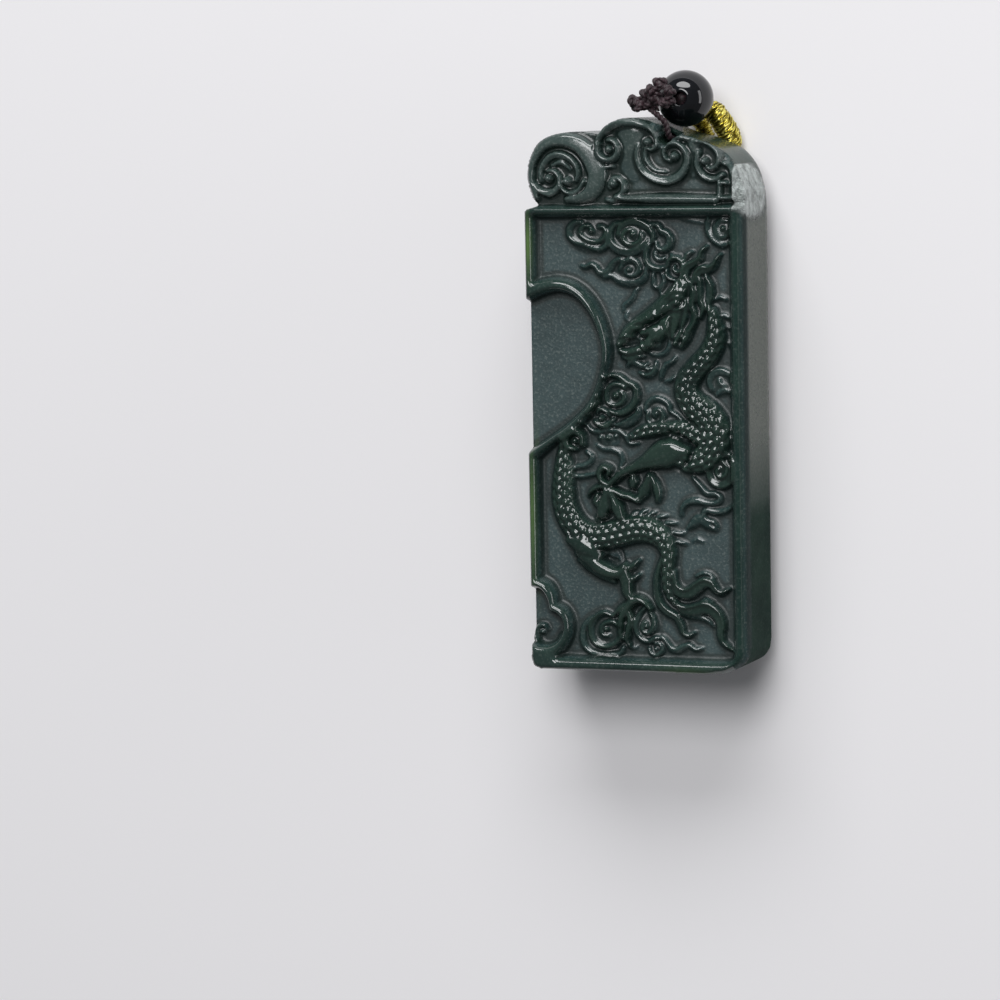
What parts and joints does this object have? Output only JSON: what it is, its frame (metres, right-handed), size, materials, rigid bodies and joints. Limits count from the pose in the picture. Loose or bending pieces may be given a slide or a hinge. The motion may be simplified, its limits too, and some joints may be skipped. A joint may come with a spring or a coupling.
{
  "type": "jade pendant",
  "caption": "Carved dark green jade plaque pendant with a framed dragon panel, scrolled head, knotted loop, glossy bead and folded neck cord, lying on its back.",
  "frame": {"origin": "middle of the jade plaque's box", "axes": "+Y along the plaque towards its cord end, +Z out of the carved face, which points up, +X to the right across the face"},
  "size_m": [0.0314, 0.0828, 0.0171],
  "materials": {
    "jade": "dark spinach-green nephrite, polished crests over a matte ground",
    "onyx": "black, high gloss",
    "brown_thread": "fine two-strand thread with a soft sheen",
    "brown_cord": "braided cord",
    "gold_thread": "metallic yellow thread, closely wound"
  },
  "bodies": {
    "root": {"jade_plaque": "jade", "onyx_bead": "onyx", "knotted_loop": "brown_thread", "gold_wrap_right": "gold_thread", "gold_wrap_left": "gold_thread", "neck_cord_right": "brown_cord", "neck_cord_left": "brown_cord", "cord_hank": "brown_cord", "hank_tie": "brown_thread"}
  },
  "joints": []
}
